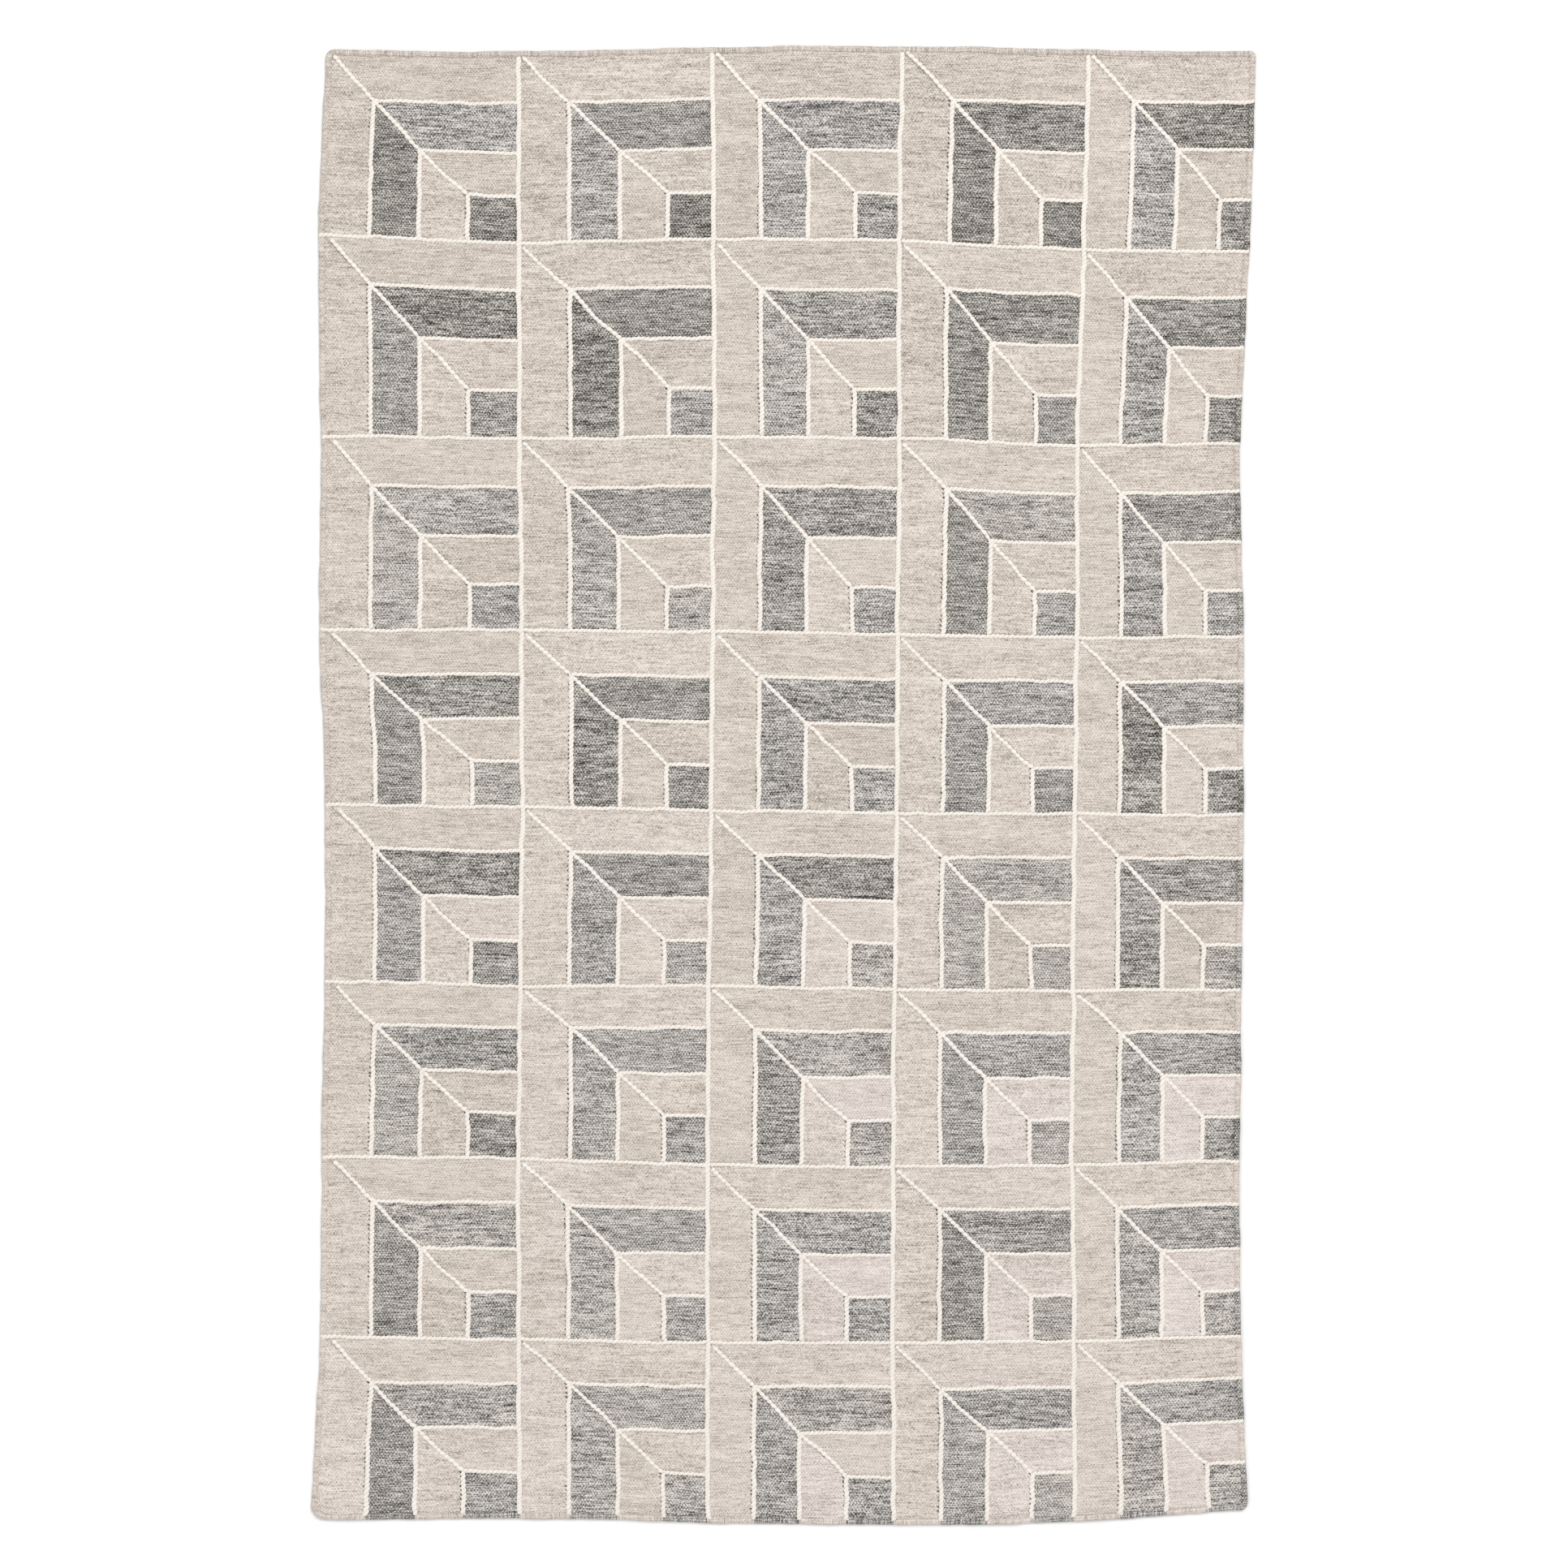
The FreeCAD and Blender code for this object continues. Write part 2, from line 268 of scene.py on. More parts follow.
def woven_shell(surface, quad, lot, key, shades):
    """A closed woven panel on four corners. A point is the corners blended by s and t.
    Both faces draw in at the rim by a bell curve of the distance to it, and the face
    swells in the middle by the sine of s times the sine of t. shades says how much
    painted shade darkens the left, right, bottom and top rims, in the grooves there."""
    corner = np.array(quad)
    width = (np.linalg.norm(corner[1] - corner[0]) + np.linalg.norm(corner[2] - corner[3])) / 2
    length = (np.linalg.norm(corner[3] - corner[0]) + np.linalg.norm(corner[2] - corner[1])) / 2
    s, t = np.meshgrid(stations(width), stations(length), indexing="ij")
    blend = ((1 - s) * (1 - t), s * (1 - t), s * t, (1 - s) * t)
    flat = sum(share[..., None] * place for share, place in zip(blend, corner))
    to_rim = np.minimum(np.minimum(s, 1 - s) * width, np.minimum(t, 1 - t) * length)
    roll = np.exp(-((to_rim / (2.6 * MM)) ** 2))
    to_sides = (s * width, (1 - s) * width, t * length, (1 - t) * length)
    shade = sum(dark * np.exp(-((to / RIM_SHADE_WIDTH) ** 2)) for dark, to in zip(shades, to_sides))
    swell = (np.sin(math.pi * s) * np.sin(math.pi * t)) ** 0.5
    unevenness = ripple(flat[..., 0].ravel(), flat[..., 1].ravel(), WAVES[key % 4], 0.25 * MM)
    top = FACE_TOP - 0.3 * MM - 1.1 * MM * roll + 0.5 * MM * swell
    top = top + (1 - roll) * unevenness.reshape(s.shape)
    under = 0.9 * MM * roll
    rows, columns = s.shape
    count = rows * columns
    points = np.concatenate([np.dstack((flat, z)).reshape(-1, 3) for z in (top, under)])
    face = grid_quads(rows, columns)
    rim = rim_order(rows, columns)
    ahead = np.roll(rim, -1)
    wall = np.column_stack((rim + count, ahead + count, ahead, rim))
    quads = np.concatenate((face, face[:, ::-1] + count, wall))
    weave = points.copy()
    weave[:, 2] = key
    surface.add(points, quads, weave=weave, lot=lot, shade=np.tile(shade.ravel(), 2))


def cell_lines(column, row):
    """The band lines of a cell, up to the finished edges: x values, then y values."""
    width = COLUMN_LINES[column + 1] - COLUMN_LINES[column]
    height = ROW_LINES[row + 1] - ROW_LINES[row]
    x = COLUMN_LINES[column] + np.array(COLUMN_SHARES[column]) * width
    y = ROW_LINES[row] + np.array(ROW_SHARES[row]) * height
    stray_x, stray_y = STRAY_CELLS.get((row, column), (0, 0))
    x[1:-1] += np.array(stray_x) * MM
    y[1:-1] += np.array(stray_y) * MM
    x[0] += EDGE_WIDTH - TUCK if column == 0 else 0
    x[-1] -= EDGE_WIDTH - TUCK if column == COLUMNS - 1 else 0
    y[0] -= EDGE_WIDTH - TUCK if row == 0 else 0
    y[-1] += EDGE_WIDTH - TUCK if row == ROWS - 1 else 0
    return x, y


def band_panels(x, y, band):
    """The corners of a band's two legs, across the cell and down it, or of the square."""
    left, right, top, bottom = x[band], x[-1], y[band], y[-1]
    if band == BANDS - 1:
        return [((left, bottom), (right, bottom), (right, top), (left, top))]
    inner_left, inner_top = x[band + 1], y[band + 1]
    across = ((inner_left, inner_top), (right, inner_top), (right, top), (left, top))
    down = ((left, bottom), (inner_left, bottom), (inner_left, inner_top), (left, top))
    return [across, down]


def rim_shades(quad, band):
    """How much painted shade darkens a panel at its left, right, bottom and top rims: the
    shade of the grooves beside the cords, and of the groove beside a finished edge."""
    xs, ys = np.array(quad).T
    plain = (0.10, 0.62, 0.35, 0.25) if band % 2 else (0.08, 0.08, 0.35, 0.35)
    groove = (
        xs.min() < COLUMN_LINES[0] + EDGE_WIDTH + MM,
        xs.max() > COLUMN_LINES[-1] - EDGE_WIDTH - MM,
        ys.min() < ROW_LINES[-1] + EDGE_WIDTH + MM,
        ys.max() > ROW_LINES[0] - EDGE_WIDTH - MM,
    )
    return np.where(groove, (0.25, 0.5, 0.35 if band % 2 else 1.1, 0.7), plain)


def lot_of(letter, draw):
    """A lot's tone from 0, darkest, to 1, palest, give or take a little."""
    return ("abcde".index(letter) + draw.uniform(-0.3, 0.3)) / 4


# Cells whose inner beige wool came from a deeper, or a paler, lot: by row and column.
INNER_LOTS = {
    (1, 1): -0.4, (2, 0): -0.4, (3, 1): -0.3, (3, 2): -0.45, (4, 3): -0.4, (4, 4): -0.6,
    (5, 0): -0.7, (5, 1): -0.3, (5, 3): 0.25, (5, 4): 0.3, (6, 0): -0.45, (6, 1): -0.25,
    (6, 4): 0.3, (7, 0): -0.35, (7, 1): -0.5, (7, 2): -0.2,
}


def beige_tone(row, column):
    """Beige is paler from the far end of the rug to the near end, and a little to the right."""
    return 0.22 + 0.06 * row + 0.01 * column


def weft_turns(surface, x, top, bottom, shade, draw):
    """The loops where grey wefts turn back beside a cord, at every second row: a dark lot
    of yarn, darkened further by painted shade in the groove beside the cord.
    """
    count = int((top - bottom) / (2 * ROW))
    share = (np.arange(count) + draw.uniform(0.35, 0.65, count)) / count
    keep = draw.random(count) < 0.93
    y = (top - share * (top - bottom))[keep]
    count = len(y)
    centre = np.column_stack((np.full(count, x - 4.1 * MM), y, np.full(count, 4.1 * MM)))
    centre[:, 0] += draw.uniform(-0.7, 0.5, count) * MM
    lean = np.radians(draw.uniform(-65, -20, count))
    size = draw.uniform(0.7, 1.15, count)[:, None] * np.array((7.6, 3.4, 2.4)) * MM
    # One larger loop stands at the band's corner, where the mitre cord comes in.
    centre = np.vstack((centre, (x - 4.6 * MM, top + 4.2 * MM, 4.3 * MM)))
    lean = np.append(lean, -0.5)
    size = np.vstack((size, np.array((6.5, 4.6, 3.2)) * MM))
    add_loops(surface, centre, lean, size, 0.1, shade)


FIELD_KINDS = ("outer_beige_bands", "grey_bands", "inner_beige_bands", "grey_squares")


def make_field(column, band, material):
    """One column's fields of one kind, as a single piece of separate closed panels."""
    surface, draw = Surface(), noise_source(2, column, band)
    area = 0.0
    for row in range(ROWS):
        x, y = cell_lines(column, row)
        panels = band_panels(x, y, band)
        letters = (LOTS_ACROSS[row][column], LOTS_DOWN[row][column])
        if band == BANDS - 1:
            letters = (LOTS_SQUARE[row][column],)
        for leg, (quad, letter) in enumerate(zip(panels, letters)):
            lot = lot_of(letter, draw)
            if band % 2 == 0:
                lot = beige_tone(row, column) + draw.uniform(-0.15, 0.15)
                if band == 2:
                    # The inner beige grows paler still towards the near end.
                    lot += 0.05 * row + INNER_LOTS.get((row, column), 0.0)
            key = row * 40 + column * 8 + band * 2 + leg
            woven_shell(surface, quad, lot, key, rim_shades(quad, band))
            ring = np.array(quad)
            ahead = np.roll(ring, -1, axis=0)
            area += abs((ring[:, 0] * ahead[:, 1] - ring[:, 1] * ahead[:, 0]).sum()) / 2
            if band % 2 == 1 and leg == len(panels) - 1:
                # Painted shade on the loops, in the groove beside the cord.
                shade = 0.6 if band == 1 else 0.4
                weft_turns(surface, x[band], y[band] - 5 * MM, y[-1] + 5 * MM, shade, draw)
    piece = surface.piece(f"woven_{FIELD_KINDS[band]}_column_{column + 1}", material)
    return piece, area


# ---------------------------------------------------------------- plied cords
LOOP_RINGS, LOOP_SIDES = 4, 7


def add_loops(surface, centre, lean, size, lot, shade):
    """Small closed loops of yarn. At share b from tip to tip and angle a round the loop,
    a point is its centre, plus half its length times minus the cosine of pi b along it,
    plus half its width times the rounded sine of pi b times cosine a across it, plus
    half its height times the same times sine a upwards. The middle bows sideways."""
    count = len(centre)
    b = np.arange(1, LOOP_RINGS + 1) / (LOOP_RINGS + 1)
    b = np.concatenate(([0.0], np.repeat(b, LOOP_SIDES), [1.0]))
    a = np.tile(np.arange(LOOP_SIDES) * 2 * math.pi / LOOP_SIDES, LOOP_RINGS)
    a = np.concatenate(([0.0], a, [0.0]))
    plump = np.sin(math.pi * b) ** 0.7
    reach = -np.cos(math.pi * b)
    ahead = np.stack((np.cos(lean), np.sin(lean)), axis=-1)
    aside = np.stack((-np.sin(lean), np.cos(lean)), axis=-1)
    long, wide, high = size[:, 0:1], size[:, 1:2], size[:, 2:3]
    run = long / 2 * reach
    off = wide / 2 * (plump * np.cos(a) + 0.5 * (1 - reach**2))
    points = np.empty((count, len(b), 3))
    points[..., :2] = centre[:, None, :2] + run[..., None] * ahead[:, None]
    points[..., :2] += off[..., None] * aside[:, None]
    points[..., 2] = centre[:, 2:3] + high / 2 * plump * np.sin(a) - high * 0.3 * reach**2
    quads = grid_quads(LOOP_RINGS, LOOP_SIDES, wrap=True) + 1
    ring = np.arange(LOOP_SIDES)
    caps = end_caps(ring + 1, ring + 1 + (LOOP_RINGS - 1) * LOOP_SIDES, 0, len(b) - 1)
    offsets = (np.arange(count) * len(b))[:, None, None]
    flat = points.reshape(-1, 3)
    surface.add(flat, quads + offsets, caps + offsets, weave=flat, lot=lot, shade=shade)


def end_caps(first_ring, last_ring, first_tip, last_tip):
    """Triangles that close a tube: a fan at its first tip and one at its last."""
    first_after, last_after = np.roll(first_ring, -1), np.roll(last_ring, -1)
    fans = (
        (np.full(len(first_ring), first_tip), first_ring, first_after),
        (np.full(len(last_ring), last_tip), last_after, last_ring),
    )
    return np.concatenate([np.column_stack(fan) for fan in fans])


# Most of a cord's points are on its upper side, the one that shows.
CORD_ANGLES = np.radians([-35, -5, 22, 48, 74, 106, 132, 158, 185, 215])


def add_tube(surface, path, normal, wide, high, girth, angles, values):
    """A tube along a path of points. At each point and angle a round it, the section is
    an ellipse, wide along the normal and high upwards, times the girth. values gives
    what is kept for the finish at each point, and each tip takes its ring's mean."""
    points = np.empty((len(path), len(angles), 3))
    points[..., :2] = path[:, None, :2] + (wide / 2 * girth * np.cos(angles))[..., None] * normal
    points[..., 2] = path[:, 2:3] + high / 2 * girth * np.sin(angles)
    sides = len(angles)
    count = len(path) * sides
    ring = np.arange(sides)
    caps = end_caps(ring, ring + count - sides, count, count + 1)

    def with_tips(grid):
        flat = grid.reshape(count, *grid.shape[2:])
        return np.concatenate((flat, grid[[0, -1]].mean(axis=1)))

    kept = {name: with_tips(grid) for name, grid in values.items()}
    surface.add(with_tips(points), grid_quads(len(path), sides, wrap=True), caps, **kept)


def strand_of(stitch, angles):
    """What a stitched tube keeps: its stitches, counted by pi, and the angle round it."""
    angle = np.broadcast_to(angles, stitch.shape)
    return {"strand": np.stack((stitch, angle, np.zeros_like(stitch)), axis=-1)}


def add_cord(surface, start, end, cord, draw, up_at_end=0.0):
    """A raised stitched cord from start to end. At distance s along it and angle a round
    it, its size is one less the groove's depth, plus that depth times the absolute sine
    of the turn, less the slant times cosine a. The turn is half a circle to a stitch."""
    pitch, wide, high, groove, slant = cord
    start, end = np.array(start), np.array(end)
    way = end - start
    distance = np.linalg.norm(way)
    heading = way / distance
    normal = np.array((-heading[1], heading[0]))
    count = max(5, round(distance / pitch * 5))
    run = np.linspace(0, distance, count + 1)
    marks = np.arange(0, distance + 3 * pitch, 2 * pitch)
    unsteady = np.interp(run, marks, draw.normal(0, 0.5, len(marks)))
    sway = np.interp(run, marks, draw.normal(0, 0.6, len(marks))) * MM
    girth = np.interp(run, marks, draw.uniform(0.88, 1.08, len(marks)))
    bow = draw.normal(0, 1.3) * MM if cord is MITRE_CORD else 0.0
    sway = sway + bow * np.sin(math.pi * run / distance)
    near_end = np.minimum(run, distance - run)
    girth *= np.clip(0.45 + near_end / (3 * MM), 0, 1) ** 0.5
    turn = math.pi * run / pitch + unsteady + draw.uniform(0, math.pi)
    stitch = turn[:, None] - slant * np.cos(CORD_ANGLES)
    size = girth[:, None] * (1 - groove + groove * np.abs(np.sin(stitch)) ** 0.7)
    size = size + draw.normal(0, 0.022, size.shape)
    path = np.empty((count + 1, 3))
    path[:, :2] = start + run[:, None] * heading + sway[:, None] * normal
    path[:, 1] += up_at_end * np.clip((run - distance) / (14 * MM) + 1, 0, 1) ** 2
    path[:, 2] = CORD_Z
    values = strand_of(stitch, CORD_ANGLES)
    add_tube(surface, path, normal, wide, high, size, CORD_ANGLES, values)


CORD_HALF = 3 * MM
OVER_EDGE = 5.6 * MM  # how far the cords run on over the rolled side


def make_outline_cords(column, material):
    """The cords on the band lines of one column's cells, across and down each cell."""
    surface, draw = Surface(), noise_source(3, column)
    for row in range(ROWS):
        x, y = cell_lines(column, row)
        right = x[-1] + (OVER_EDGE if column == COLUMNS - 1 else -CORD_HALF)
        bottom = y[-1] + (0 if row == ROWS - 1 else CORD_HALF * 0.8)
        turn_up = 0.8 * MM if column == COLUMNS - 1 else 0.0
        for step in range(1, BANDS):
            corner = (x[step], y[step])
            add_cord(surface, corner, (right, y[step]), LEVEL_CORD, draw, turn_up)
            add_cord(surface, (x[step], bottom), corner, UPRIGHT_CORD, draw)
    return surface.piece(f"stitched_outline_cords_column_{column + 1}", material)


def make_mitre_cords(column, material):
    """The cords from each cell's corner to its square, kinked where bands meet."""
    surface, draw = Surface(), noise_source(4, column)
    for row in range(ROWS):
        x, y = cell_lines(column, row)
        for step in range(BANDS - 1):
            inset_x = inset_y = 2 * MM
            if step == 0:
                inset_x = 6.5 * MM if column or row == 0 else 14 * MM
                inset_y = 6.5 * MM if row else 3 * MM
            start = np.array((x[step] + inset_x, y[step] - inset_y))
            end = np.array((x[step + 1], y[step + 1]))
            add_cord(surface, start, end, MITRE_CORD, draw)
    return surface.piece(f"stitched_mitre_cords_column_{column + 1}", material)


def make_row_cord(row, material):
    """One cord between two rows, in a length for each column."""
    surface, draw = Surface(), noise_source(5, row)
    for column in range(COLUMNS):
        x, y = cell_lines(column, row)
        left = x[0] + (-6 * MM if column == 0 else CORD_HALF)
        right = x[-1] + (OVER_EDGE if column == COLUMNS - 1 else -CORD_HALF)
        turn_up = 0.8 * MM if column == COLUMNS - 1 else 0.0
        add_cord(surface, (left, y[-1]), (right, y[-1]), LEVEL_CORD, draw, turn_up)
    return surface.piece(f"stitched_row_cord_{row + 1}", material)


def make_column_cord(column, material):
    """One unbroken cord between two columns, from one bound end to the other."""
    surface, draw = Surface(), noise_source(6, column)
    x = COLUMN_LINES[column + 1]
    low, high = ROW_LINES[-1] + EDGE_WIDTH - TUCK, ROW_LINES[0] - EDGE_WIDTH
    add_cord(surface, (x, low), (x, high), COLUMN_CORD, draw)
    return surface.piece(f"stitched_column_cord_{column + 1}", material)


# ---------------------------------------------------------------- finished edges
EDGE_ANGLES = np.radians(np.arange(12) * 30 - 165)
EDGE_WRAP = (ROW, 0.05, 0.5)


def add_edge(surface, side, low, high, upright, lot, draw):
    """Wool wrapped round one stretch of a side or an end, from low to high. Its section
    is a flattened circle and its size falls a little between one turn of wool and the
    next, by the absolute sine of the turns less the slant times cosine a. The wool keeps
    its place in the weave: along the edge, and round it. Painted shade darkens it where
    it goes down into the groove beside the cloth."""
    pitch, groove, slant = EDGE_WRAP
    distance = high - low
    count = max(4, round(distance / pitch * 4))
    run = np.linspace(0, distance, count + 1)
    marks = np.arange(0, distance + 3 * pitch, 2 * pitch)
    unsteady = np.interp(run, marks, draw.normal(0, 0.5, len(marks)))
    girth = np.interp(run, marks, draw.uniform(0.95, 1.03, len(marks)))
    near_end = np.minimum(run, distance - run)
    girth *= np.clip(0.7 + near_end / (4 * MM), 0, 1) ** 0.5
    turn = math.pi * (low + run) / pitch + unsteady
    stitch = turn[:, None] - slant * np.cos(EDGE_ANGLES)
    size = girth[:, None] * (1 - groove + groove * np.abs(np.sin(stitch)) ** 0.7)
    line = COLUMN_LINES[-1] if upright else ROW_LINES[0]
    path = np.empty((count + 1, 3))
    path[:, 1 if upright else 0] = low + run
    path[:, 0 if upright else 1] = side * (line - EDGE_WIDTH * 0.5 - 0.3 * MM)
    path[:, 2] = EDGE_TOP * 0.5
    normal = np.array((-side, 0.0) if upright else (0.0, -side))
    wide = EDGE_WIDTH + 1.8 * MM
    inward = np.clip(np.cos(EDGE_ANGLES), 0, 1)
    weave = np.zeros((*stitch.shape, 3))
    weave[..., 0] = side * line + wide / 2 * (math.pi / 2 - EDGE_ANGLES)
    weave[..., 1] = (low + run)[:, None]
    if not upright:
        weave[..., 0] -= 0.7 * weave[..., 1]
    # Painted shade on the wrap's inner side, where it goes down into the groove: by upright and
    # side.
    groove_shades = {(True, -1): 0.25, (True, 1): 0.6, (False, -1): 0.35, (False, 1): 0.8}
    shade = np.broadcast_to(groove_shades[upright, side] * inward**3, stitch.shape)
    values = {"weave": weave, "lot": np.full(stitch.shape, lot), "shade": shade}
    angles = EDGE_ANGLES
    add_tube(surface, path, normal, wide, EDGE_TOP, size, angles, values)


def make_selvedges(materials):
    """Both rolled sides, woven on from the fields. The right one takes the colour and
    the lot of each band that it meets."""
    draw = noise_source(8)
    left = Surface()
    for row in range(ROWS):
        add_edge(left, -1, ROW_LINES[row + 1], ROW_LINES[row], True, beige_tone(row, 0), draw)
    right = {"beige": Surface(), "grey": Surface()}
    for row in range(ROWS):
        _, y = cell_lines(COLUMNS - 1, row)
        y[0] = ROW_LINES[row]
        y[-1] = ROW_LINES[row + 1]
        for step in range(BANDS):
            colour, lot = "beige", beige_tone(row, COLUMNS - 1)
            if step % 2:
                colour = "grey"
                lot = lot_of((LOTS_ACROSS if step == 1 else LOTS_SQUARE)[row][-1], draw) - 0.3
            add_edge(right[colour], 1, y[step + 1], y[step], True, lot, draw)
    return {
        "left_selvedge_wrap": left.piece("rolled_left_selvedge", materials["beige"]),
        "right_selvedge_beige_wrap": right["beige"].piece(
            "rolled_right_selvedge_beige", materials["beige"]
        ),
        "right_selvedge_grey_wrap": right["grey"].piece(
            "rolled_right_selvedge_grey", materials["grey"]
        ),
    }


def make_bindings(materials):
    """Both whip-stitched ends. The near one takes the colour and the lot of each band
    that it meets."""
    far, draw = Surface(), noise_source(7)
    inside = COLUMN_LINES[-1] - EDGE_WIDTH * 0.6
    add_edge(far, 1, -inside, inside, False, 0.0, draw)
    near = {"beige": Surface(), "grey": Surface()}
    for column in range(COLUMNS):
        x, _ = cell_lines(column, ROWS - 1)
        x[0] = max(x[0], -inside)
        x[-1] = min(x[-1], inside)
        for step in range(BANDS):
            colour, lot = "beige", beige_tone(ROWS - 1, column)
            if step % 2:
                colour = "grey"
                lot = lot_of((LOTS_DOWN if step == 1 else LOTS_SQUARE)[-1][column], draw) - 0.2
            add_edge(near[colour], -1, x[step], x[step + 1], False, lot, draw)
    return {
        "top_binding": far.piece("stitched_top_binding", materials["beige"]),
        "bottom_beige_binding": near["beige"].piece(
            "stitched_bottom_binding_beige", materials["beige"]
        ),
        "bottom_grey_binding": near["grey"].piece(
            "stitched_bottom_binding_grey", materials["grey"]
        ),
    }


def add_inner_cord(surface, start, end, wide, high, z, sides=8, step=25 * MM):
    """A straight inner cord: a flattened tube from start to end that closes at both."""
    start, end = np.array(start), np.array(end)
    distance = np.linalg.norm(end - start)
    count = max(2, round(distance / step))
    v = np.linspace(0, 1, count + 1)[:, None]
    way = (end - start) / distance
    aside = np.array((-way[1], way[0]))
    a = np.arange(sides) * 2 * math.pi / sides
    points = np.empty((count + 1, sides, 3))
    flat = start + v * (end - start)
    points[..., :2] = flat[:, None] + (wide / 2 * np.cos(a))[None, :, None] * aside
    points[..., 2] = z + high / 2 * np.sin(a)
    grid = points.reshape(-1, 3)
    ends = points[[0, -1]].mean(axis=1)
    ring = np.arange(sides)
    top = count * sides
    caps = end_caps(ring, ring + top, len(grid), len(grid) + 1)
    quads = grid_quads(count + 1, sides, wrap=True)
    surface.add(np.concatenate((grid, ends)), quads, caps)


def make_cotton(material):
    """The cotton inside: warp yarns in the weave, and the cores of the four edges."""
    warp = Surface()
    far, near = ROW_LINES[0] - EDGE_WIDTH, ROW_LINES[-1] + EDGE_WIDTH
    middle = (BACK_TOP + WARP_TOP) / 2
    spacing = 4.3 * MM
    reach = COLUMN_LINES[-1] - EDGE_WIDTH - spacing
    for x in np.arange(-reach, reach, spacing):
        add_inner_cord(warp, (x, near), (x, far), 1.6 * MM, 1.1 * MM, middle, 4, 0.3)
    pieces = {"cotton_warp": warp.piece("cotton_warp_yarns", material)}
    ends = (ROW_LINES[-1] + 4 * MM, ROW_LINES[0] - 4 * MM)
    for side, name in ((-1, "left_selvedge_core"), (1, "right_selvedge_core")):
        x = side * (COLUMN_LINES[-1] - EDGE_WIDTH * 0.5)
        core = Surface()
        add_inner_cord(core, (x, ends[0]), (x, ends[1]), 4 * MM, 1.6 * MM, EDGE_TOP * 0.5)
        pieces[name] = core.piece(f"cotton_{name}", material)
    inside = COLUMN_LINES[-1] - EDGE_WIDTH - 2 * MM
    for end, name in ((1, "top_hem_cord"), (-1, "bottom_hem_cord")):
        y = end * (ROW_LINES[0] - EDGE_WIDTH * 0.5)
        core = Surface()
        add_inner_cord(core, (-inside, y), (inside, y), 4 * MM, 1.6 * MM, EDGE_TOP * 0.5)
        pieces[name] = core.piece(f"cotton_{name}", material)
    return pieces


# --------------------------------------------------------------------- materials
def linear(red, green, blue):
    """A display colour out of 255 as linear light."""
    parts = np.array((red, green, blue)) / 255
    parts = np.where(parts <= 0.04045, parts / 12.92, ((parts + 0.055) / 1.055) ** 2.4)
    return (*parts, 1.0)


def add_node(tree, kind, inputs=(), **settings):
    """A node with its settings, and each input linked to a socket or set to a value."""
    node = tree.nodes.new(kind)
    for name, value in settings.items():
        setattr(node, name, value)
    for key, value in dict(inputs).items():
        if isinstance(value, bpy.types.NodeSocket):
            tree.links.new(value, node.inputs[key])
        else:
            node.inputs[key].default_value = value
    return node


def calculate(tree, operation, first, second=0.0, third=0.0, clamp=False):
    inputs = {0: first, 1: second, 2: third}
    node = add_node(tree, "ShaderNodeMath", inputs, operation=operation, use_clamp=clamp)
    return node.outputs[0]


def stretch(tree, vector, scale):
    inputs = {0: vector, 1: scale}
    node = add_node(tree, "ShaderNodeVectorMath", inputs, operation="MULTIPLY")
    return node.outputs[0]


def noise(tree, vector, scale=1.0, detail=2.0):
    inputs = {"Vector": vector, "Scale": scale, "Detail": detail}
    return add_node(tree, "ShaderNodeTexNoise", inputs).outputs["Fac"]


def new_group(name, inputs, outputs):
    """An empty node group with named sockets: (name, kind, default) and (name, kind)."""
    group = bpy.data.node_groups.new(name, "ShaderNodeTree")
    for title, kind, default in inputs:
        socket = group.interface.new_socket(title, in_out="INPUT", socket_type=kind)
        socket.default_value = default
    for title, kind in outputs:
        group.interface.new_socket(title, in_out="OUTPUT", socket_type=kind)
    entry = group.nodes.new("NodeGroupInput")
    leave = group.nodes.new("NodeGroupOutput")
    return group, entry.outputs, leave.inputs


FLOAT, VECTOR, COLOUR = "NodeSocketFloat", "NodeSocketVector", "NodeSocketColor"


